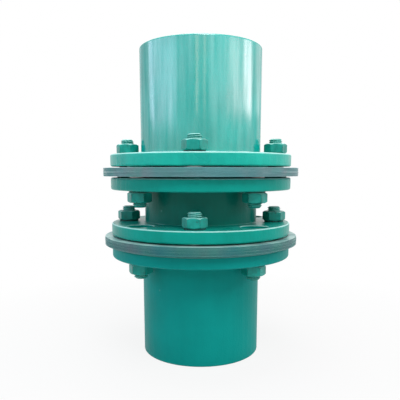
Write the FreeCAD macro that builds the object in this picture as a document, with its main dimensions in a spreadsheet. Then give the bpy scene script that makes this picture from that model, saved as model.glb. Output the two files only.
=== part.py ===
# Flexible shaft coupling with two laminated disc packs and a short spacer.
# It stands on the free end of its lower hub: origin at the middle of that end, +Z along the shafts.
# Going up: lower hub, disc pack, spacer, disc pack, upper hub. Each disc pack is bolted by turns to
# the hub on one side of it and to the spacer on the other, so that it can flex between them.
# A bolt's head bears on the pack and lies in a clearance hole of the flange that it isn't bolted to.
import FreeCAD, Part
import os
import Sketcher

sizes = {
    # hubs
    "hub_length": 168,
    "barrel_diameter": 179,
    "barrel_chamfer": 2,
    "bore_diameter": 90,
    "keyway_width": 25,
    "keyway_depth": 5.4,
    # flanges, which the hubs and the spacer have alike
    "flange_thickness": 17.5,
    "web_at_barrel": 3.5,
    "web_at_tube": 8,
    "web_at_rim": 4,
    # spacer between the disc packs
    "spacer_length": 84,
    "tube_wall": 10,
    # disc packs
    "pack_thickness": 12,
    "pack_outside_holes": 24,
    "pack_inside_holes": 23,
    # bolts, nuts and washers
    "bolts_per_member": 4,
    "bolt_diameter": 20,
    "bolt_hole_clearance": 0.5,
    "bolt_past_nut": 7,
    "head_height": 11,
    "head_hole_clearance": 1.68,
    "across_flats": 30,
    "nut_height": 14,
    "lock_washer_diameter": 29,
    "lock_washer_thickness": 2,
    "pack_washer_diameter": 26,
    "pack_washer_thickness": 2,
    "washer_bore_clearance": 0.25,
    # the many bars and holes of the fasteners are drawn with this many flats
    "small_round_flats": 12,
}

# radii that follow from the driving sizes, as expressions of the sheet's cells
barrel = "Sizes.barrel_diameter / 2"
bore = "Sizes.bore_diameter / 2"
bolt = "Sizes.bolt_diameter / 2"
bolt_hole = f"({bolt} + Sizes.bolt_hole_clearance)"
head_hole = "(Sizes.across_flats / sqrt(3) + Sizes.head_hole_clearance)"
bolt_circle = f"({barrel} + Sizes.web_at_barrel + {head_hole})"
flange = f"({bolt_circle} + {head_hole} + Sizes.web_at_rim)"
tube = f"({bolt_circle} - {head_hole} - Sizes.web_at_tube)"
pack_outside = f"({bolt_circle} + {bolt} + Sizes.pack_outside_holes)"
pack_inside = f"({bolt_circle} - {bolt} - Sizes.pack_inside_holes)"

# heights along the coupling, from the surface it stands on
lower_pack_bottom = "Sizes.hub_length + Sizes.pack_washer_thickness"
lower_pack_top = f"{lower_pack_bottom} + Sizes.pack_thickness"
spacer_bottom = f"{lower_pack_top} + Sizes.pack_washer_thickness"
spacer_top = f"{spacer_bottom} + Sizes.spacer_length"
upper_pack_bottom = f"{spacer_top} + Sizes.pack_washer_thickness"
upper_pack_top = f"{upper_pack_bottom} + Sizes.pack_thickness"
coupling_top = f"{upper_pack_top} + Sizes.pack_washer_thickness + Sizes.hub_length"

# A member's bolts stand at the first or at the second set of places round the bolt circle.
# Places are angles in degrees, from the front (-Y) towards +X.
first_places = "0"
second_places = "180 / Sizes.bolts_per_member"

head_down = FreeCAD.Rotation()
head_up = FreeCAD.Rotation(FreeCAD.Vector(1, 0, 0), 180)


def make_sheet(doc):
    sheet = doc.addObject("Spreadsheet::Sheet", "Sizes")
    for row, (name, value) in enumerate(sizes.items(), start=1):
        sheet.set(f"A{row}", name)
        sheet.set(f"B{row}", str(value))
        sheet.setAlias(f"B{row}", name)
    doc.recompute()


def new_body(doc, label):
    body = doc.addObject("PartDesign::Body", label)
    body.Label = label
    return body


def origin_feature(body, role):
    return next(f for f in body.Origin.OriginFeatures if f.Role == role)


def bind(thing, **expressions):
    """Ties properties to expressions of the sheet; a double underscore stands for a point."""
    for name, expression in expressions.items():
        thing.setExpression(name.replace("__", "."), expression)


def add_feature(body, kind, name, **expressions):
    """A feature laid on the body's own base plane, square to its axis."""
    feature = body.newObject(kind, name)
    feature.AttachmentSupport = (origin_feature(body, "XY_Plane"), "")
    feature.MapMode = "FlatFace"
    if kind.endswith("Prism"):
        feature.Polygon = 6
    bind(feature, **expressions)
    body.Tip = feature
    body.Document.recompute()
    return feature


def drive_point(sketch, line, direction, expression):
    value = float(sketch.evalExpression(expression))
    index = sketch.addConstraint(Sketcher.Constraint(direction, -1, 1, line, 1, value))
    sketch.setExpression(f"Constraints[{index}]", expression)


def revolve(body, name, outline):
    """Turns a closed outline of (radius, height) expressions about the body's own axis."""
    sketch = body.newObject("Sketcher::SketchObject", f"{name}_outline")
    sketch.AttachmentSupport = (origin_feature(body, "XZ_Plane"), "")
    sketch.MapMode = "FlatFace"
    corners = [FreeCAD.Vector(*(float(sketch.evalExpression(e)) for e in corner)) for corner in outline]
    for start, end in zip(corners, corners[1:] + corners[:1]):
        sketch.addGeometry(Part.LineSegment(start, end), False)
    for line, (radius, height) in enumerate(outline):
        line_before = (line - 1) % len(outline)
        sketch.addConstraint(Sketcher.Constraint("Coincident", line_before, 2, line, 1))
        drive_point(sketch, line, "DistanceX", radius)
        if height == "0":
            sketch.addConstraint(Sketcher.Constraint("PointOnObject", line, 1, -1))
        else:
            drive_point(sketch, line, "DistanceY", height)
    turned = body.newObject("PartDesign::Revolution", name)
    turned.Profile = sketch
    turned.ReferenceAxis = (sketch, ["V_Axis"])
    turned.Angle = 360
    body.Tip = turned
    body.Document.recompute()


def repeat_round(body, feature):
    """Copies a cut to the other places of its set."""
    ring = body.newObject("PartDesign::PolarPattern", f"{feature.Name}_ring")
    ring.Originals = [feature]
    ring.Axis = (origin_feature(body, "Z_Axis"), [""])
    ring.Angle = 360
    bind(ring, Occurrences="Sizes.bolts_per_member")
    body.Tip = ring
    body.Document.recompute()


def at_place(places):
    """Expressions for the first of a set of places on the bolt circle."""
    return {
        "AttachmentOffset__Base__x": f"{bolt_circle} * sin({places})",
        "AttachmentOffset__Base__y": f"-{bolt_circle} * cos({places})",
    }


def add_round(body, kind, name, radius, height, **expressions):
    """A bar or hole of the fasteners, with its flats on the given radius."""
    return add_feature(
        body,
        f"PartDesign::{kind}Prism",
        name,
        Polygon="Sizes.small_round_flats",
        Circumradius=f"({radius}) / cos(180 / Sizes.small_round_flats)",
        Height=height,
        **expressions,
    )


def drill_flange(body, name, bottom, own_places, other_places):
    """Holes for the member's own bolts, and clearance holes for the heads of its neighbour's."""
    thickness = "Sizes.flange_thickness"
    for kind, radius, places in (("bolt", bolt_hole, own_places), ("head", head_hole, other_places)):
        offset = {"AttachmentOffset__Base__z": bottom, **at_place(places)}
        hole = add_round(body, "Subtractive", f"{name}_{kind}_hole", radius, thickness, **offset)
        repeat_round(body, hole)


def make_hub(doc, label, own_places, other_places):
    """A hub with its free end at height 0 and its flange on top."""
    body = new_body(doc, label)
    flange_bottom = "Sizes.hub_length - Sizes.flange_thickness"
    revolve(
        body,
        "turned_hub",
        [
            (bore, "0"),
            (f"{barrel} - Sizes.barrel_chamfer", "0"),
            (barrel, "Sizes.barrel_chamfer"),
            (barrel, flange_bottom),
            (flange, flange_bottom),
            (flange, "Sizes.hub_length"),
            (bore, "Sizes.hub_length"),
        ],
    )
    drill_flange(body, "flange", flange_bottom, own_places, other_places)
    add_feature(
        body,
        "PartDesign::SubtractiveBox",
        "keyway",
        Length=f"{bore} + Sizes.keyway_depth",
        Width="Sizes.keyway_width",
        Height="Sizes.hub_length",
        AttachmentOffset__Base__y="-Sizes.keyway_width / 2",
    )
    return body


def make_spacer(doc):
    """The short tube with a flange at each end, which carries the inner side of both packs."""
    body = new_body(doc, "spacer")
    inside = f"{tube} - Sizes.tube_wall"
    upper_flange_bottom = "Sizes.spacer_length - Sizes.flange_thickness"
    revolve(
        body,
        "turned_spacer",
        [
            (inside, "0"),
            (flange, "0"),
            (flange, "Sizes.flange_thickness"),
            (tube, "Sizes.flange_thickness"),
            (tube, upper_flange_bottom),
            (flange, upper_flange_bottom),
            (flange, "Sizes.spacer_length"),
            (inside, "Sizes.spacer_length"),
        ],
    )
    drill_flange(body, "lower", "0", first_places, second_places)
    drill_flange(body, "upper", upper_flange_bottom, second_places, first_places)
    bind(body, Placement__Base__z=spacer_bottom)
    return body


def make_pack(doc, label, bottom):
    """A ring of thin steel leaves, clamped into one block, with a hole for every bolt."""
    body = new_body(doc, label)
    thickness = "Sizes.pack_thickness"
    revolve(
        body,
        "leaves",
        [(pack_inside, "0"), (pack_outside, "0"), (pack_outside, thickness), (pack_inside, thickness)],
    )
    for name, places in (("first", first_places), ("second", second_places)):
        hole = add_round(body, "Subtractive", f"{name}_hole", bolt, thickness, **at_place(places))
        repeat_round(body, hole)
    bind(body, Placement__Base__z=bottom)
    return body


def make_bolt(doc, hexagon):
    """A hexagon bolt that stands on its head; the head bears at height 0."""
    body = new_body(doc, "bolt")
    clamped = "Sizes.pack_thickness + Sizes.pack_washer_thickness + Sizes.flange_thickness"
    fastened = "Sizes.lock_washer_thickness + Sizes.nut_height + Sizes.bolt_past_nut"
    add_feature(
        body,
        "PartDesign::AdditivePrism",
        "head",
        Circumradius=hexagon,
        Height="Sizes.head_height",
        AttachmentOffset__Base__z="-Sizes.head_height",
    )
    add_round(body, "Additive", "shank", bolt, f"{clamped} + {fastened}")
    return body


def make_nut(doc, hexagon):
    body = new_body(doc, "nut")
    add_feature(body, "PartDesign::AdditivePrism", "hexagon", Circumradius=hexagon, Height="Sizes.nut_height")
    add_round(body, "Subtractive", "thread", bolt, "Sizes.nut_height")
    return body


def make_washer(doc, label):
    """A flat ring; its label also names its diameter and thickness in the sheet."""
    body = new_body(doc, label)
    thickness = f"Sizes.{label}_thickness"
    add_round(body, "Additive", "ring", f"Sizes.{label}_diameter / 2", thickness)
    add_round(body, "Subtractive", "hole", f"{bolt} + Sizes.washer_bore_clearance", thickness)
    return body


def set_out(doc, label, fastener, places, height, turn):
    """One member's four like fasteners on the bolt circle, as separate solids of one group."""
    copies = []
    for number in range(sizes["bolts_per_member"]):
        angle = f"({places} + {number} * 360 / Sizes.bolts_per_member)"
        copy = doc.addObject("App::Link", f"{label}_{number + 1}")
        copy.LinkedObject = fastener
        copy.Placement = FreeCAD.Placement(FreeCAD.Vector(), turn)
        bind(
            copy,
            Placement__Base__x=f"{bolt_circle} * sin{angle}",
            Placement__Base__y=f"-{bolt_circle} * cos{angle}",
            Placement__Base__z=height,
        )
        copies.append(copy)
    group = doc.addObject("Part::Compound", label)
    group.Label = label
    group.Links = copies
    return group


def fasten(doc, hardware, member, places, pack_bottom, turn):
    """Bolts one member to one pack. Going from the head: pack, washer, flange, lock washer, nut."""
    upwards = turn == head_down
    sign = "+" if upwards else "-"
    head_seat = pack_bottom if upwards else f"{pack_bottom} + Sizes.pack_thickness"
    pack_washer_seat = f"{head_seat} {sign} Sizes.pack_thickness"
    flange_seat = f"{pack_washer_seat} {sign} Sizes.pack_washer_thickness"
    lock_washer_seat = f"{flange_seat} {sign} Sizes.flange_thickness"
    nut_seat = f"{lock_washer_seat} {sign} Sizes.lock_washer_thickness"
    seats = (head_seat, pack_washer_seat, lock_washer_seat, nut_seat)
    return [
        set_out(doc, f"{member}_{fastener.Label}s", fastener, places, seat, turn)
        for fastener, seat in zip(hardware, seats)
    ]


def make_coupling(doc):
    lower_hub = make_hub(doc, "lower_hub", second_places, first_places)
    upper_hub = make_hub(doc, "upper_hub", first_places, second_places)
    upper_hub.Placement = FreeCAD.Placement(FreeCAD.Vector(), head_up)
    bind(upper_hub, Placement__Base__z=coupling_top)
    lower_pack = make_pack(doc, "lower_disc_pack", lower_pack_bottom)
    upper_pack = make_pack(doc, "upper_disc_pack", upper_pack_bottom)
    pieces = [lower_hub, lower_pack, make_spacer(doc), upper_pack, upper_hub]
    hexagon = "Sizes.across_flats / sqrt(3)"
    hardware = (
        make_bolt(doc, hexagon),
        make_washer(doc, "pack_washer"),
        make_washer(doc, "lock_washer"),
        make_nut(doc, hexagon),
    )
    for member, places, pack_bottom, turn in (
        ("lower_hub", second_places, lower_pack_bottom, head_up),
        ("lower_spacer", first_places, lower_pack_bottom, head_down),
        ("upper_spacer", second_places, upper_pack_bottom, head_up),
        ("upper_hub", first_places, upper_pack_bottom, head_down),
    ):
        pieces += fasten(doc, hardware, member, places, pack_bottom, turn)
    doc.recompute()
    return pieces


def check(doc, pieces):
    for thing in doc.Objects:
        if "Invalid" in thing.State or "Error" in thing.State:
            raise RuntimeError(f"{thing.Name} failed: {thing.State}")
    for piece in pieces:
        if piece.Shape.isNull() or not piece.Shape.isValid():
            raise RuntimeError(f"{piece.Label} has no valid shape")


def main():
    doc = FreeCAD.newDocument("disc_coupling")
    make_sheet(doc)
    pieces = make_coupling(doc)
    check(doc, pieces)
    os.makedirs("parts", exist_ok=True)
    for piece in pieces:
        piece.Shape.exportStep(f"parts/{piece.Label}.step")
        print(piece.Label, len(piece.Shape.Solids), "solids", round(piece.Shape.Volume / 1000, 1), "cm3")


main()
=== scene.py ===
import math
import random

import bmesh
import bpy
from mathutils import Matrix, Vector


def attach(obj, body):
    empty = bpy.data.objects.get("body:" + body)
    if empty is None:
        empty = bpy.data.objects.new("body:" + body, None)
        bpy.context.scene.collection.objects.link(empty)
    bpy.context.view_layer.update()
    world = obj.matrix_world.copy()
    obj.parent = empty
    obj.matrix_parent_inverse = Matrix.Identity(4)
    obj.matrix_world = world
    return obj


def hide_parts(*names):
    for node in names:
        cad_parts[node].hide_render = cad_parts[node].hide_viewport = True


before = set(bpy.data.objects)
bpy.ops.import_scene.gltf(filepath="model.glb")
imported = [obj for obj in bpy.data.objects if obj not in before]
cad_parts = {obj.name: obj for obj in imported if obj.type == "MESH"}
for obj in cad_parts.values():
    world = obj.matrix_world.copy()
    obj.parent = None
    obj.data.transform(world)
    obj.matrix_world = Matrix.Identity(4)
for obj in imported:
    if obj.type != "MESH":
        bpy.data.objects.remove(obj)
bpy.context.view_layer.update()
scene = bpy.context.scene
scene.view_settings.view_transform = "Standard"
random.seed(11)
mm = 0.001

# The camera stands level with the upper disc pack and looks slightly down.
cameraView = {
    "azimuth": 4.0,  # degrees to the right of the front
    "distance": 741.4,  # mm from the coupling's axis
    "height": 276,  # mm above the floor
    "pitch": 9.217,  # degrees downwards
    "sensor": 36,
    "lens": 43.24,
    "shiftX": -0.0018,
    "shiftY": 0.125,
}


def placeCamera():
    s = cameraView
    azimuth, out = math.radians(s["azimuth"]), s["distance"] * mm
    data = bpy.data.cameras.new("camera")
    data.sensor_width, data.lens = s["sensor"], s["lens"]
    data.shift_x, data.shift_y = s["shiftX"], s["shiftY"]
    camera = bpy.data.objects.new("camera", data)
    camera.location = (out * math.sin(azimuth), -out * math.cos(azimuth), s["height"] * mm)
    camera.rotation_euler = (math.radians(90 - s["pitch"]), 0, azimuth)
    scene.collection.objects.link(camera)
    scene.camera = camera


placeCamera()
print("camera placed")

noiseSpan = (0.3, 0.7)  # a noise's values lie mostly between these


def linearColor(hexValue):
    parts = [int(hexValue[i:i + 2], 16) / 255 for i in (1, 3, 5)]
    return [p / 12.92 if p <= 0.04045 else ((p + 0.055) / 1.055) ** 2.4 for p in parts] + [1]


def perMetre(size):
    return 1000 / size  # a texture scale from a feature's size in mm


def emptyTree(owner):
    owner.use_nodes = True
    owner.node_tree.nodes.clear()
    return owner.node_tree


def addNode(tree, kind, settings=None, links=None):
    node = tree.nodes.new(kind)
    for name, value in (settings or {}).items():
        if isinstance(name, str) and hasattr(node, name):
            setattr(node, name, value)
        else:
            node.inputs[name].default_value = value
    for name, source in (links or {}).items():
        tree.links.new(source, node.inputs[name])
    return node


def startMaterial(name, settings):
    material = bpy.data.materials.new(name)
    tree = emptyTree(material)
    shader = addNode(tree, "ShaderNodeBsdfPrincipled", settings)
    addNode(tree, "ShaderNodeOutputMaterial", None, {"Surface": shader.outputs[0]})
    place = addNode(tree, "ShaderNodeTexCoord").outputs["Object"]
    return material, tree, shader, place


def connect(tree, shader, sources):
    # a value that is the same everywhere is set on the shader's own socket
    for socket, source in sources.items():
        if isinstance(source, float):
            shader.inputs[socket].default_value = source
        else:
            tree.links.new(source, shader.inputs[socket])


def noiseOn(tree, place, size, detail=2, stretch=(1, 1, 1)):
    spread = addNode(tree, "ShaderNodeMapping", {"Scale": stretch}, {"Vector": place})
    settings = {"Scale": perMetre(size), "Detail": detail}
    return addNode(tree, "ShaderNodeTexNoise", settings, {"Vector": spread.outputs[0]}).outputs[0]


def ranged(tree, source, low, high, toLow=0.0, toHigh=1.0):
    settings = {"From Min": low, "From Max": high, "To Min": toLow, "To Max": toHigh}
    return addNode(tree, "ShaderNodeMapRange", settings, {"Value": source}).outputs[0]


def varied(tree, source, span, values):
    # runs from the first value to the second, unless they are the same
    return values[0] if values[0] == values[1] else ranged(tree, source, *span, *values)


def blendColors(tree, share, first, second):
    node = addNode(tree, "ShaderNodeMix", {"data_type": "RGBA"}, {0: share})
    for index, colour in ((6, first), (7, second)):  # the node's two inputs for colours
        if isinstance(colour, str):
            node.inputs[index].default_value = linearColor(colour)
        else:
            tree.links.new(colour, node.inputs[index])
    return node.outputs[2]


def raised(tree, height, depth, below=None):
    settings = {"Strength": 1.0, "Distance": depth * mm}
    links = {"Height": height}
    if below:
        links["Normal"] = below
    return addNode(tree, "ShaderNodeBump", settings, links).outputs[0]


def heightOfNormal(tree):
    # 1 where a face looks up, 0 where it stands
    facing = addNode(tree, "ShaderNodeNewGeometry").outputs["Normal"]
    return addNode(tree, "ShaderNodeSeparateXYZ", None, {0: facing}).outputs["Z"]


# Alkyd machinery enamel, rolled on twice: glossy, with orange peel, long sags and dust nibs.
# Sizes and depths are in mm. A pair named From says where something starts and where it is full,
# in the measure of its noise or of the height of the face's normal.
barrelFinish = {
    "thick": "#00A398",
    "thin": "#10BBB0",
    "index": 1.5,
    "mottleSize": 60,
    "runSize": 9,
    "runStretch": 0.06,
    "runFrom": (0.45, 0.8),
    "runShare": 0.5,
    "runDepth": 0.8,
    "peelSize": 2.6,
    "peelDepth": 0.34,
    "nibSize": 34,
    "nibFrom": (0.06, 0.03),
    "nibDepth": 0.25,
    "roughness": (0.26, 0.36),
    "levelFrom": (0.9, 1),
    "specular": (0.0, 0.0),  # on standing and on level faces: here the coat alone shines
    "coat": (0.39, 0.91),  # between the runs and along them
    "coatIndex": 2.2,
    "coatRoughness": 0.16,
    "dust": "#7FC4BC",
    "dustShare": 0.2,
    # the pale colour of the painted highlight on rounded upper edges; the barrel gets none
    "edgeHighlight": "#B9F2EC",
    "edgeHighlightShare": 0.0,
    "edgeFrom": (0.3, 0.6),
    "edgeTo": (0.97, 0.9),
}

# The flanges got one coat: they shine less. Their rounded upper edges are painted pale, as a
# painted highlight.
flangeFinish = {
    **barrelFinish,
    "thick": "#00A899",
    "thin": "#14C2AE",
    "peelDepth": 0.25,
    "runDepth": 0.5,
    "specular": (0.3, 0.5),
    "coat": (0.0, 0.0),
    "edgeHighlightShare": 0.85,
}
# The spacer's enamel is painted a little darker than the upper flanges, as painted shade lower on
# the coupling.
spacerShadedFinish = {**flangeFinish, "thick": "#009888", "thin": "#04A899", "specular": (0.15, 0.5)}
# The tube between the flanges is painted darker, as painted shade under the upper flange.
tubeShadeFinish = {**spacerShadedFinish, "thick": "#007467", "thin": "#048274", "edgeHighlightShare": 0.0}

# The lower hub's enamel has gone dull, and is painted darker as painted shade below the flanges and
# packs.
lowerShadedFinish = {
    **flangeFinish,
    "thick": "#00948C",
    "thin": "#04A098",
    "specular": (0.1, 0.5),
    "roughness": (0.4, 0.52),
}

# The same enamel brushed over rough fasteners: thicker, duller, and rubbed off here and there.
fastenerFinish = {
    **flangeFinish,
    "thick": "#088276",
    "thin": "#1CAA9D",
    "mottleSize": 12,
    "runSize": 6,
    "runStretch": 0.3,
    "runShare": 0.6,
    "runDepth": 0.25,
    "peelSize": 2.0,
    "peelDepth": 0.2,
    "nibSize": 12,
    "roughness": (0.28, 0.42),
    # pale painted highlight on the chamfers and edges that look up
    "edgeHighlight": "#A4E4DC",
    "edgeHighlightShare": 0.8,
    "chipSize": 3.2,
    "chipFrom": (0.68, 0.71),
    "chip": "#2E4444",
}

# Spring washers are painted almost black, as painted shade under the nuts.
lockShadeFinish = {**fastenerFinish, "thick": "#123B39", "thin": "#1B5A55", "edgeHighlightShare": 0.0}


def makeEnamel(name, finish):
    uniform = {
        "IOR": finish["index"],
        "Coat IOR": finish["coatIndex"],
        "Coat Roughness": finish["coatRoughness"],
    }
    material, tree, shader, place = startMaterial(name, uniform)
    mottle = noiseOn(tree, place, finish["mottleSize"], 3)
    runs = noiseOn(tree, place, finish["runSize"], 2, (1, 1, finish["runStretch"]))
    peel = noiseOn(tree, place, finish["peelSize"], 1)
    scale = {"Scale": perMetre(finish["nibSize"])}
    dots = addNode(tree, "ShaderNodeTexVoronoi", scale, {"Vector": place}).outputs["Distance"]
    nibs = ranged(tree, dots, *finish["nibFrom"])
    cover = blendColors(tree, ranged(tree, mottle, *noiseSpan), finish["thick"], finish["thin"])
    thinned = ranged(tree, runs, *finish["runFrom"], 0, finish["runShare"])
    cover = blendColors(tree, thinned, cover, finish["thin"])
    dusty = ranged(tree, nibs, 0, 1, 0, finish["dustShare"])
    cover = blendColors(tree, dusty, cover, finish["dust"])
    slope = heightOfNormal(tree)
    if finish["edgeHighlightShare"]:
        # painted highlight: rounded upper edges, which lie between the standing faces and the level
        # ones, are painted pale
        tilted = ranged(tree, slope, *finish["edgeFrom"])
        steps = {0: tilted, 1: ranged(tree, slope, *finish["edgeTo"])}
        rounded = addNode(tree, "ShaderNodeMath", {"operation": "MULTIPLY"}, steps).outputs[0]
        highlit = ranged(tree, rounded, 0, 1, 0, finish["edgeHighlightShare"])
        cover = blendColors(tree, highlit, cover, finish["edgeHighlight"])
    if "chip" in finish:
        chips = noiseOn(tree, place, finish["chipSize"], 3)
        cover = blendColors(tree, ranged(tree, chips, *finish["chipFrom"]), cover, finish["chip"])
    bumps = raised(tree, peel, finish["peelDepth"])
    bumps = raised(tree, runs, finish["runDepth"], bumps)
    bumps = raised(tree, nibs, finish["nibDepth"], bumps)
    connect(tree, shader, {
        "Base Color": cover,
        "Roughness": ranged(tree, mottle, *noiseSpan, *finish["roughness"]),
        # level faces let the paint flow out, so they shine most
        "Specular IOR Level": varied(tree, slope, finish["levelFrom"], finish["specular"]),
        "Coat Weight": varied(tree, runs, noiseSpan, finish["coat"]),
        "Normal": bumps,
    })
    return material


# Cold-rolled stainless spring strip, blanked into leaves: blue-grey, streaked along the rolling,
# with a mist of enamel over it. Faces that look up are painted pale in patches, as a painted
# reflection.
leafFinish = {
    "steel": "#5A999D",
    "warm": "#86989C",
    "dark": "#3A6F74",
    "mist": "#3DA095",
    "paintedSheen": "#B9DAD6",
    "metallic": 0.2,
    "specular": 0.4,
    "streakSize": 1.1,
    "streakStretch": 0.03,
    "streakFrom": (0.55, 0.8),
    "streakDepth": 0.08,
    "patchSize": 55,
    "patchFrom": (0.35, 0.7),
    "mistSize": 26,
    "mistFrom": (0.5, 0.72),
    "tintShare": 0.7,  # of the streaks' and of the mist's colour
    "levelFrom": (0.93, 0.99),
    "paintedSheenFrom": (0.25, 0.6),
    "paintedSheenShare": (0.3, 0.9),
    "roughness": (0.3, 0.5),
}
# The lower pack is a darker copy of the same steel and mist, as painted shade between the flanges.
lowerShadedLeafFinish = {
    **leafFinish,
    "steel": "#2B8084",
    "warm": "#5C777C",
    "mist": "#1F8479",
    "mistFrom": (0.35, 0.65),
}


def makeLeafSteel(name, finish):
    uniform = {"Metallic": finish["metallic"], "Specular IOR Level": finish["specular"]}
    material, tree, shader, place = startMaterial(name, uniform)
    stretch = (finish["streakStretch"], finish["streakStretch"], 1)
    streaks = noiseOn(tree, place, finish["streakSize"], 3, stretch)
    patches = noiseOn(tree, place, finish["patchSize"], 2)
    mist = noiseOn(tree, place, finish["mistSize"], 5)
    # painted reflection: faces that look up are painted pale where the mist noise is high
    steps = {
        0: ranged(tree, heightOfNormal(tree), *finish["levelFrom"]),
        1: ranged(tree, mist, *finish["paintedSheenFrom"], *finish["paintedSheenShare"]),
    }
    paintedSheen = addNode(tree, "ShaderNodeMath", {"operation": "MULTIPLY"}, steps).outputs[0]
    warmer = ranged(tree, patches, *finish["patchFrom"])
    cover = blendColors(tree, warmer, finish["steel"], finish["warm"])
    darker = ranged(tree, streaks, *finish["streakFrom"], 0, finish["tintShare"])
    cover = blendColors(tree, darker, cover, finish["dark"])
    misty = ranged(tree, mist, *finish["mistFrom"], 0, finish["tintShare"])
    cover = blendColors(tree, misty, cover, finish["mist"])
    cover = blendColors(tree, paintedSheen, cover, finish["paintedSheen"])
    connect(tree, shader, {
        "Base Color": cover,
        "Roughness": ranged(tree, streaks, *noiseSpan, *finish["roughness"]),
        "Normal": raised(tree, streaks, finish["streakDepth"]),
    })
    return material


# Turned carbon steel, oiled: bright, with fine tool rings that catch the light.
turnedFinish = {
    "steel": "#A5A9A8",
    "stain": "#6E6A62",
    "ringSize": 1.2,
    "ringStretch": 0.02,
    "ringDepth": 0.03,
    "stainSize": 40,
    "stainFrom": (0.5, 0.75),
    "roughness": (0.24, 0.42),
}


def makeTurnedSteel(name, finish):
    material, tree, shader, place = startMaterial(name, {"Metallic": 1.0})
    stretch = (finish["ringStretch"], finish["ringStretch"], 1)
    rings = noiseOn(tree, place, finish["ringSize"], 2, stretch)
    stains = noiseOn(tree, place, finish["stainSize"], 4)
    stained = ranged(tree, stains, *finish["stainFrom"])
    connect(tree, shader, {
        "Base Color": blendColors(tree, stained, finish["steel"], finish["stain"]),
        "Roughness": ranged(tree, rings, *noiseSpan, *finish["roughness"]),
        "Normal": raised(tree, rings, finish["ringDepth"]),
    })
    return material


barrelEnamel = makeEnamel("barrelEnamel", barrelFinish)
flangeEnamel = makeEnamel("flangeEnamel", flangeFinish)
spacerShadedEnamel = makeEnamel("spacerShadedEnamel", spacerShadedFinish)
tubeShadeEnamel = makeEnamel("tubeShadeEnamel", tubeShadeFinish)
lowerShadedEnamel = makeEnamel("lowerHubShadedEnamel", lowerShadedFinish)
fastenerEnamel = makeEnamel("fastenerEnamel", fastenerFinish)
lockWasherShade = makeEnamel("lockWasherShade", lockShadeFinish)
upperLeafSteel = makeLeafSteel("upperLeafSteel", leafFinish)
lowerShadedLeafSteel = makeLeafSteel("lowerShadedLeafSteel", lowerShadedLeafFinish)
turnedSteel = makeTurnedSteel("turnedSteel", turnedFinish)
print("materials made")

seam = 1e-7  # metres within which corners are joined
near = 2e-6  # metres within which something counts as lying on a rim or a level
firstPlaces = [0, 90, 180, 270]  # degrees round the bolt circle, from the front to the right
secondPlaces = [45, 135, 225, 315]


def onCircle(angle, radius):
    around = math.radians(angle)
    return radius * math.sin(around), -radius * math.cos(around)


def turn(bm, outline, steps, centre=(0, 0), closed=True):
    # an outline of (radius, height) in mm, closed on itself or with both ends on the axis
    x, y = centre
    verts = [bm.verts.new(((x + r) * mm, y * mm, z * mm)) for r, z in outline]
    ends = verts[1:] + verts[:1] if closed else verts[1:]
    edges = [bm.edges.new(pair) for pair in zip(verts, ends)]
    bmesh.ops.spin(
        bm, geom=verts + edges, cent=(x * mm, y * mm, 0), axis=(0, 0, 1), dvec=(0, 0, 0),
        angle=2 * math.pi, steps=steps, use_merge=True, use_duplicate=False,
    )
    bmesh.ops.remove_doubles(bm, verts=bm.verts, dist=seam)
    bmesh.ops.recalc_face_normals(bm, faces=bm.faces)


def sweep(bm, outline, angle, steps, rise=0):
    # a closed outline, carried round part of a turn or up a helix, with both its ends filled
    verts = [bm.verts.new((r * mm, 0, z * mm)) for r, z in outline]
    edges = [bm.edges.new(pair) for pair in zip(verts, verts[1:] + verts[:1])]
    made = bmesh.ops.spin(
        bm, geom=verts + edges, cent=(0, 0, 0), axis=(0, 0, 1), dvec=(0, 0, rise * mm),
        angle=angle, steps=steps, use_merge=False, use_duplicate=False,
    )
    lastEdges = [g for g in made["geom_last"] if isinstance(g, bmesh.types.BMEdge)]
    for end in (edges, lastEdges):
        bmesh.ops.contextual_create(bm, geom=end)
    bmesh.ops.recalc_face_normals(bm, faces=bm.faces)


def roundEdges(bm, rims, width, segments):
    # rims are (radius, height) of the round edges to soften
    found = []
    for edge in bm.edges:
        for radius, height in rims:
            if all(
                abs(v.co.xy.length - radius * mm) < near and abs(v.co.z - height * mm) < near
                for v in edge.verts
            ):
                found.append(edge)
    bmesh.ops.bevel(
        bm, geom=found, offset=width * mm, offset_type="OFFSET", segments=segments, profile=0.5,
        affect="EDGES", material=-1,
    )


def newObject(bm, name):
    mesh = bpy.data.meshes.new(name)
    bm.to_mesh(mesh)
    bm.free()
    made = bpy.data.objects.new(name, mesh)
    scene.collection.objects.link(made)
    return made


def bake(made):
    depsgraph = bpy.context.evaluated_depsgraph_get()
    mesh = bpy.data.meshes.new_from_object(made.evaluated_get(depsgraph))
    made.modifiers.clear()
    made.data = mesh


def combine(made, tool, operation):
    other = newObject(tool, "tool")
    modifier = made.modifiers.new(operation.lower(), "BOOLEAN")
    modifier.operation = operation
    modifier.solver = "EXACT"
    modifier.object = other
    bake(made)
    bpy.data.objects.remove(other)


cutterSizes = {"beyond": 1, "sides": 48}  # beyond: mm by which a cutter stands out at each face


def addBobbins(bm, places, circle, radius, low, high, flare):
    # hole cutters that open out at both faces, so that the hole's edges are softened
    beyond = cutterSizes["beyond"]
    wide = radius + flare + beyond
    outline = [
        (0, low - beyond), (wide, low - beyond), (radius, low + flare),
        (radius, high - flare), (wide, high + beyond), (0, high + beyond),
    ]
    for angle in places:
        turn(bm, outline, cutterSizes["sides"], onCircle(angle, circle), closed=False)


def dress(made, material, nodes, sharp=35):
    # sharp: degrees from which an edge is drawn sharp
    made.data.materials.clear()
    made.data.materials.append(material)
    made.data.shade_smooth()
    made.data.set_sharp_from_angle(angle=math.radians(sharp))
    weighted = made.modifiers.new("weighted", "WEIGHTED_NORMAL")
    weighted.keep_sharp = True
    bake(made)
    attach(made, "root")
    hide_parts(*nodes)
    print(made.name, len(made.data.polygons), "faces")


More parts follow.
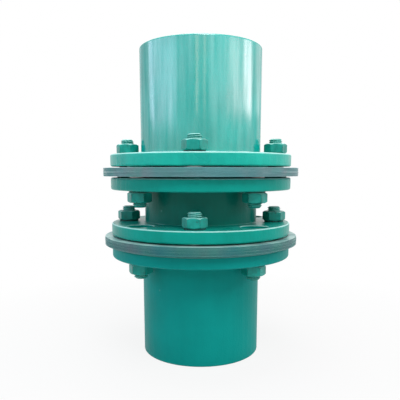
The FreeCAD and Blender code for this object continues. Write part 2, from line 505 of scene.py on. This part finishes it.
hubSizes = {
    "length": 168,
    "barrelRadius": 89.5,
    "barrelEdge": 2,
    "boreRadius": 45,
    "boreEdge": 2,
    "flangeRadius": 135,
    "flangeThickness": 17.5,
    "flangeEdge": 2.6,
    "rootRadius": 3,
    "keyway": (25, 5.4),
    "top": 452,
    "sides": 224,
    "bareBeyond": 0.6,  # mm beyond the keyway to which the ends are left bare
    "levelNormal": 0.95,
}

# holes of the flanges, which the hubs and the spacer have alike
holeSizes = {"circle": 112, "boltRadius": 10.5, "headRadius": 19, "softening": 0.9}


def drillFlange(tool, low, ownPlaces, otherPlaces):
    high = low + hubSizes["flangeThickness"]
    circle, soft = holeSizes["circle"], holeSizes["softening"]
    addBobbins(tool, ownPlaces, circle, holeSizes["boltRadius"], low, high, soft)
    addBobbins(tool, otherPlaces, circle, holeSizes["headRadius"], low, high, soft)


def makeHub(name, node, ownPlaces, otherPlaces, upsideDown, barrelPaint, flangePaint):
    s = hubSizes
    under = s["length"] - s["flangeThickness"]
    mouth = s["boreRadius"] + s["boreEdge"]
    bm = bmesh.new()
    turn(
        bm,
        [
            (s["boreRadius"], s["boreEdge"]), (mouth, 0), (s["barrelRadius"], 0),
            (s["barrelRadius"], under), (s["flangeRadius"], under),
            (s["flangeRadius"], s["length"]), (mouth, s["length"]),
            (s["boreRadius"], s["length"] - s["boreEdge"]),
        ],
        s["sides"],
    )
    rims = [(s["flangeRadius"], under), (s["flangeRadius"], s["length"])]
    roundEdges(bm, [(s["barrelRadius"], under)], s["rootRadius"], segments=5)
    roundEdges(bm, [(s["barrelRadius"], 0)], s["barrelEdge"], segments=4)
    roundEdges(bm, rims, s["flangeEdge"], segments=4)
    made = newObject(bm, name)
    tool = bmesh.new()
    drillFlange(tool, under, ownPlaces, otherPlaces)
    combine(made, tool, "DIFFERENCE")
    width, depth = s["keyway"]
    tool = bmesh.new()
    tall = s["length"] + 2 * cutterSizes["beyond"]
    size = ((s["boreRadius"] + depth) * mm, width * mm, tall * mm)
    middle = Matrix.Translation((size[0] / 2, 0, s["length"] / 2 * mm))
    bmesh.ops.create_cube(tool, size=1, matrix=middle @ Matrix.Diagonal((*size, 1)))
    combine(made, tool, "DIFFERENCE")
    if upsideDown:
        flip = Matrix.Translation((0, 0, s["top"] * mm)) @ Matrix.Rotation(math.pi, 4, "X")
        made.data.transform(flip)
    dress(made, barrelPaint, [node])
    made.data.materials.append(turnedSteel)
    made.data.materials.append(flangePaint)
    seat = (s["top"] - under if upsideDown else under) * mm
    bareRadius = (s["boreRadius"] + depth + s["bareBeyond"]) * mm
    for face in made.data.polygons:
        height = face.center.z
        inFlange = height < seat + near if upsideDown else height > seat - near
        if face.center.xy.length < bareRadius:
            face.material_index = 1  # the bore and its keyway are left bare
        elif abs(face.normal.z) > s["levelNormal"] or inFlange:
            face.material_index = 2


makeHub("lowerHub", "lower_hub", secondPlaces, firstPlaces, False, lowerShadedEnamel, lowerShadedEnamel)
makeHub("upperHub", "upper_hub", firstPlaces, secondPlaces, True, barrelEnamel, flangeEnamel)

spacerSizes = {
    "low": 184,
    "length": 84,
    "tubeRadius": 85,
    "wall": 10,
    "rootRadius": 2.5,
    "boreEdge": 1,
}


def makeSpacer():
    s, rim = spacerSizes, hubSizes["flangeRadius"]
    low, high = s["low"], s["low"] + s["length"]
    inner, outer = s["tubeRadius"] - s["wall"], s["tubeRadius"]
    tubeLow, tubeHigh = low + hubSizes["flangeThickness"], high - hubSizes["flangeThickness"]
    bm = bmesh.new()
    turn(
        bm,
        [
            (inner, low), (rim, low), (rim, tubeLow), (outer, tubeLow),
            (outer, tubeHigh), (rim, tubeHigh), (rim, high), (inner, high),
        ],
        hubSizes["sides"],
    )
    rims = [(rim, z) for z in (low, tubeLow, tubeHigh, high)]
    roundEdges(bm, [(outer, tubeLow), (outer, tubeHigh)], s["rootRadius"], segments=4)
    roundEdges(bm, rims, hubSizes["flangeEdge"], segments=4)
    roundEdges(bm, [(inner, low), (inner, high)], s["boreEdge"], segments=2)
    made = newObject(bm, "spacerTube")
    tool = bmesh.new()
    drillFlange(tool, low, firstPlaces, secondPlaces)
    drillFlange(tool, tubeHigh, secondPlaces, firstPlaces)
    combine(made, tool, "DIFFERENCE")
    dress(made, spacerShadedEnamel, ["spacer"])
    # painted shade: the tube and its roots between the flanges take the darker tube enamel
    made.data.materials.append(tubeShadeEnamel)
    rootEnd = (outer + s["rootRadius"]) * mm
    for face in made.data.polygons:
        between = tubeLow * mm < face.center.z < tubeHigh * mm
        if face.center.xy.length < rootEnd and between:
            face.material_index = 1


makeSpacer()

packSizes = {
    "insideRadius": 79,
    "outsideRadius": 146,
    "thickness": 12,
    "leaves": 9,
    "gap": 0.16,
    "edge": 0.3,
    "uneven": 0.7,  # mm by which the leaves' rims differ
    "holeRadius": 10,
    "lowerBottom": 170,
    "upperBottom": 270,
    "sides": 160,
    "sharp": 50,
}


def makePack(name, node, bottom, steel):
    s = packSizes
    pitch, edge, last = s["thickness"] / s["leaves"], s["edge"], s["leaves"] - 1
    bm = bmesh.new()
    for leaf in range(s["leaves"]):
        low = bottom + leaf * pitch + (s["gap"] / 2 if leaf else 0)
        high = bottom + (leaf + 1) * pitch - (s["gap"] / 2 if leaf < last else 0)
        outer = s["outsideRadius"] - random.random() * s["uneven"]
        inner = s["insideRadius"] + random.random() * s["uneven"]
        turn(
            bm,
            [
                (inner, low + edge), (inner + edge, low), (outer - edge, low), (outer, low + edge),
                (outer, high - edge), (outer - edge, high), (inner + edge, high),
                (inner, high - edge),
            ],
            s["sides"],
        )
    made = newObject(bm, name)
    tool = bmesh.new()
    places, circle, top = firstPlaces + secondPlaces, holeSizes["circle"], bottom + s["thickness"]
    addBobbins(tool, places, circle, s["holeRadius"], bottom, top, edge)
    combine(made, tool, "DIFFERENCE")
    dress(made, steel, [node], s["sharp"])


makePack("lowerLeafPack", "lower_disc_pack", packSizes["lowerBottom"], lowerShadedLeafSteel)
makePack("upperLeafPack", "upper_disc_pack", packSizes["upperBottom"], upperLeafSteel)

# Each kind of fastener is shaped once, standing on its bearing face, and copied to its places.
hexagonSizes = {
    "acrossFlats": 30,
    "corner": 0.5,
    "cornerAngle": 40,  # degrees from which an edge is softened
    "chamferFrom": 0.96,  # share of half the width at which the lathe's chamfer starts
    "chamferAngle": 30,
    "chamferSides": 60,
}


def makeHexagon(name, low, high, chamferLow, chamferHigh):
    s, beyond = hexagonSizes, cutterSizes["beyond"]
    half = s["acrossFlats"] / 2
    reach = half / math.cos(math.radians(30))
    bm = bmesh.new()
    middle = Matrix.Translation((0, 0, (low + high) / 2 * mm))
    bmesh.ops.create_cone(
        bm, cap_ends=True, segments=6, radius1=reach * mm, radius2=reach * mm,
        depth=(high - low) * mm, matrix=middle @ Matrix.Rotation(math.radians(30), 4, "Z"),
    )
    made = newObject(bm, name)
    wide, flat = reach + beyond, half * s["chamferFrom"]
    drop = (wide - flat) * math.tan(math.radians(s["chamferAngle"]))
    foot = [(0, low - beyond), (wide, low - beyond)]
    crown = [(wide, high + beyond), (0, high + beyond)]
    if chamferLow:
        foot = [(0, low), (flat, low), (wide, low + drop)]
    if chamferHigh:
        crown = [(wide, high - drop), (flat, high), (0, high)]
    lens = bmesh.new()
    turn(lens, foot + crown, s["chamferSides"], closed=False)
    combine(made, lens, "INTERSECT")
    return made


def softenCorners(made):
    soft = made.modifiers.new("soft", "BEVEL")
    soft.width = hexagonSizes["corner"] * mm
    soft.segments = 3
    soft.limit_method = "ANGLE"
    soft.angle_limit = math.radians(hexagonSizes["cornerAngle"])
    bake(made)


boltSizes = {
    "radius": 10,
    "length": 54.5,
    "tip": 1.6,
    "headHeight": 11,
    "intoHead": 1,
    "sides": 48,
    "threadFrom": 46,
    "runOut": 1,
    "pitch": 2.5,
    "threadDepth": 1.4,
    "threadLead": 0.2,
    "threadStop": 0.6,  # share of the tip that the thread leaves free
    "threadSides": 32,
    "threadRoot": 0.4,  # mm by which the thread's foot is sunk into the root
    "crestDrop": 0.15,
    "threadProfile": (-1.1, -0.25, 0.1, 1.1),  # heights of foot, crest, crest and foot
}


def makeThreadedEnd(bm):
    s = boltSizes
    root = s["radius"] - s["threadDepth"]
    turn(
        bm,
        [
            (0, -s["intoHead"]), (s["radius"], -s["intoHead"]), (s["radius"], s["threadFrom"]),
            (root, s["threadFrom"] + s["runOut"]), (root, s["length"] - s["tip"]),
            (root - s["tip"], s["length"]), (0, s["length"]),
        ],
        s["sides"],
        closed=False,
    )
    start = s["threadFrom"] + s["threadLead"]
    turns = (s["length"] - s["tip"] * s["threadStop"] - start) / s["pitch"]
    steps = int(turns * s["threadSides"])
    foot, crest = root - s["threadRoot"], s["radius"] - s["crestDrop"]
    heights = [start + rise for rise in s["threadProfile"]]
    angle = 2 * math.pi * steps / s["threadSides"]
    rise = s["pitch"] / s["threadSides"]
    sweep(bm, list(zip((foot, crest, crest, foot), heights)), angle, steps, rise)


def makeBolt():
    made = makeHexagon("bolt", -boltSizes["headHeight"], 0, True, False)
    softenCorners(made)
    bm = bmesh.new()
    makeThreadedEnd(bm)
    bm.from_mesh(made.data)
    bm.to_mesh(made.data)
    bm.free()
    return made


nutSizes = {"height": 14, "boreRadius": 10.05, "boreEdge": 0.8}


def makeNut():
    s = nutSizes
    made = makeHexagon("nut", 0, s["height"], True, True)
    tool = bmesh.new()
    addBobbins(tool, [0], 0, s["boreRadius"], 0, s["height"], s["boreEdge"])
    combine(made, tool, "DIFFERENCE")
    softenCorners(made)
    return made


washerSizes = {
    "boreRadius": 10.25,
    "packRadius": 13,
    "lockRadius": 14.5,
    "thickness": 2,
    "edge": 0.35,
    "split": 9,  # degrees by which a spring washer's ends stay apart
    "sides": 64,
}


def washerOutline(radius):
    s = washerSizes
    inner, edge, high = s["boreRadius"], s["edge"], s["thickness"]
    return [
        (inner, edge), (inner + edge, 0), (radius - edge, 0), (radius, edge),
        (radius, high - edge), (radius - edge, high), (inner + edge, high), (inner, high - edge),
    ]


def makePackWasher():
    bm = bmesh.new()
    turn(bm, washerOutline(washerSizes["packRadius"]), washerSizes["sides"])
    return newObject(bm, "packWasher")


def makeLockWasher():
    # a spring washer, closed flat by its nut: its ends still show as a slit
    s = washerSizes
    bm = bmesh.new()
    sweep(bm, washerOutline(s["lockRadius"]), math.radians(360 - s["split"]), s["sides"])
    return newObject(bm, "lockWasher")


fastenerSharp = 28  # degrees from which a fastener's edge is drawn sharp


def setOut(name, node, pattern, places, height, upsideDown, spread, material):
    bm = bmesh.new()
    for angle in places:
        x, y = onCircle(angle, holeSizes["circle"])
        before = len(bm.verts)
        bm.from_mesh(pattern.data)
        bm.verts.ensure_lookup_table()
        stand = Matrix.Translation((x * mm, y * mm, height * mm))
        stand = stand @ Matrix.Rotation(math.radians(random.uniform(-spread, spread)), 4, "Z")
        if upsideDown:
            stand = stand @ Matrix.Rotation(math.pi, 4, "X")
        bmesh.ops.transform(bm, matrix=stand, verts=bm.verts[before:])
    dress(newObject(bm, name), material, [node], fastenerSharp)


bolt, nut, packWasher, lockWasher = makeBolt(), makeNut(), makePackWasher(), makeLockWasher()
packed = packSizes["thickness"]
clamped = packed + washerSizes["thickness"] + hubSizes["flangeThickness"]
fastened = clamped + washerSizes["thickness"]

# how far from the head each kind sits on the bolt, in mm, and the degrees by which it may be turned
kinds = (
    ("Bolts", "bolts", bolt, 0, 2, fastenerEnamel, "fastener_enamel"),
    ("Nuts", "nuts", nut, fastened, 2, fastenerEnamel, "fastener_enamel"),
    ("LockWashers", "lock_washers", lockWasher, clamped, 180, lockWasherShade, "fastener_enamel"),
    ("PackWashers", "pack_washers", packWasher, packed, 180, turnedSteel, "washer_steel"),
)
members = (
    ("lowerHub", "lower_hub", secondPlaces, packSizes["lowerBottom"], True),
    ("lowerSpacer", "lower_spacer", firstPlaces, packSizes["lowerBottom"], False),
    ("upperSpacer", "upper_spacer", secondPlaces, packSizes["upperBottom"], True),
    ("upperHub", "upper_hub", firstPlaces, packSizes["upperBottom"], False),
)
for label, member, places, packBottom, upsideDown in members:
    way = -1 if upsideDown else 1
    seat = packBottom + (packed if upsideDown else 0)
    for kindLabel, kind, pattern, along, spread, material, slotName in kinds:
        name, node, height = f"{label}{kindLabel}", f"{member}_{kind}", seat + way * along
        setOut(name, node, pattern, places, height, upsideDown, spread, material)
for pattern in (bolt, nut, packWasher, lockWasher):
    bpy.data.objects.remove(pattern)
print("fasteners set out")

studio = {
    "worldStrength": 0.19,
    "paper": "#CFD2D2",
    "nearGlow": 0.87,  # how white the camera sees the floor beside the coupling
    "fadeFrom": 0.14,  # metres from the axis at which the floor starts to fade to white
    "fadeTo": 0.6,
    "floorRadius": 4,  # metres
    "floorSides": 96,
}

# where each lamp stands and looks, its width and height in mm, its power in watts, its colour
lamps = {
    "leftBox": ((-830, -370, 570), (0, 0, 520), (940, 300), 2.25, "#CCD6F0"),
    "leftPanel": ((-897, 78, 580), (0, 0, 520), (180, 280), 0.6, "#CCD6F0"),
    "rightBox": ((807, -142, 560), (0, 0, 520), (947, 230), 1.8, "#FFE8EE"),
    "rightPanel": ((815, 60, 565), (0, 0, 520), (300, 230), 0.7, "#FFE8EE"),
    "rearPanel": ((628, 527, 560), (0, 0, 520), (380, 230), 0.28, "#FFF4F6"),
    "frontLeftBox": ((-560, -1230, 740), (0, 0, 600), (760, 220), 0.6, "#E0EEFF"),
    "frontRightBox": ((730, -1100, 670), (0, 0, 580), (760, 310), 0.8, "#EAF6FF"),
    "leftStrip": ((-71, -1290, 685), (0, -89, 440), (54, 350), 0.24, "#FFD8BE"),
    "rightStrip": ((245, -1270, 685), (0, -89, 440), (54, 350), 0.17, "#FFD8BE"),
    "keyBox": ((330, -950, 1400), (0, 0, 250), (700, 700), 13.0, "#FFFFFF"),
    "topBox": ((-150, 100, 1500), (0, 0, 300), (900, 900), 11.0, "#FFFFFF"),
}


def makeLamp(name, where, aim, size, power, tint):
    data = bpy.data.lights.new(name, "AREA")
    data.shape = "RECTANGLE"
    data.size, data.size_y = size[0] * mm, size[1] * mm
    data.energy = power
    data.color = linearColor(tint)[:3]
    lamp = bpy.data.objects.new(name, data)
    lamp.location = Vector(where) * mm
    lamp.rotation_euler = (Vector(aim) - Vector(where)).to_track_quat("-Z", "Y").to_euler()
    scene.collection.objects.link(lamp)


def seenRays(tree):
    # 1 for what the camera sees, straight or in metal and glass
    rays = addNode(tree, "ShaderNodeLightPath").outputs
    links = {0: rays["Is Camera Ray"], 1: rays["Is Glossy Ray"]}
    seen = addNode(tree, "ShaderNodeMath", {"operation": "ADD"}, links).outputs[0]
    settings = {"operation": "ADD", "use_clamp": True}
    links = {0: seen, 1: rays["Is Transmission Ray"]}
    return addNode(tree, "ShaderNodeMath", settings, links).outputs[0]


def makeWorld():
    world = bpy.data.worlds.new("studioWhite")
    scene.world = world
    tree = emptyTree(world)
    level = ranged(tree, seenRays(tree), 0, 1, studio["worldStrength"], 1)
    sky = addNode(tree, "ShaderNodeBackground", {"Color": (1, 1, 1, 1)}, {"Strength": level})
    addNode(tree, "ShaderNodeOutputWorld", None, {"Surface": sky.outputs[0]})


def makeFloor():
    s = studio
    bm = bmesh.new()
    sides, radius = s["floorSides"], s["floorRadius"]
    bmesh.ops.create_circle(bm, cap_ends=True, segments=sides, radius=radius)
    floor = newObject(bm, "floor")
    material = bpy.data.materials.new("paperFloor")  # matt backdrop paper, which fades to white
    tree = emptyTree(material)
    place = addNode(tree, "ShaderNodeTexCoord").outputs["Object"]
    length = {"operation": "LENGTH"}
    away = addNode(tree, "ShaderNodeVectorMath", length, {0: place}).outputs["Value"]
    glow = ranged(tree, away, s["fadeFrom"], s["fadeTo"], s["nearGlow"], 1)
    links = {0: glow, 1: seenRays(tree)}
    level = addNode(tree, "ShaderNodeMath", {"operation": "MULTIPLY"}, links).outputs[0]
    paper = addNode(tree, "ShaderNodeBsdfDiffuse", {"Color": linearColor(s["paper"])})
    white = addNode(tree, "ShaderNodeEmission", {"Color": (1, 1, 1, 1)})
    links = {0: level, 1: paper.outputs[0], 2: white.outputs[0]}
    cover = addNode(tree, "ShaderNodeMixShader", None, links)
    addNode(tree, "ShaderNodeOutputMaterial", None, {"Surface": cover.outputs[0]})
    floor.data.materials.append(material)


for lampName, lampSetup in lamps.items():
    makeLamp(lampName, *lampSetup)
makeWorld()
makeFloor()
print("studio lit")
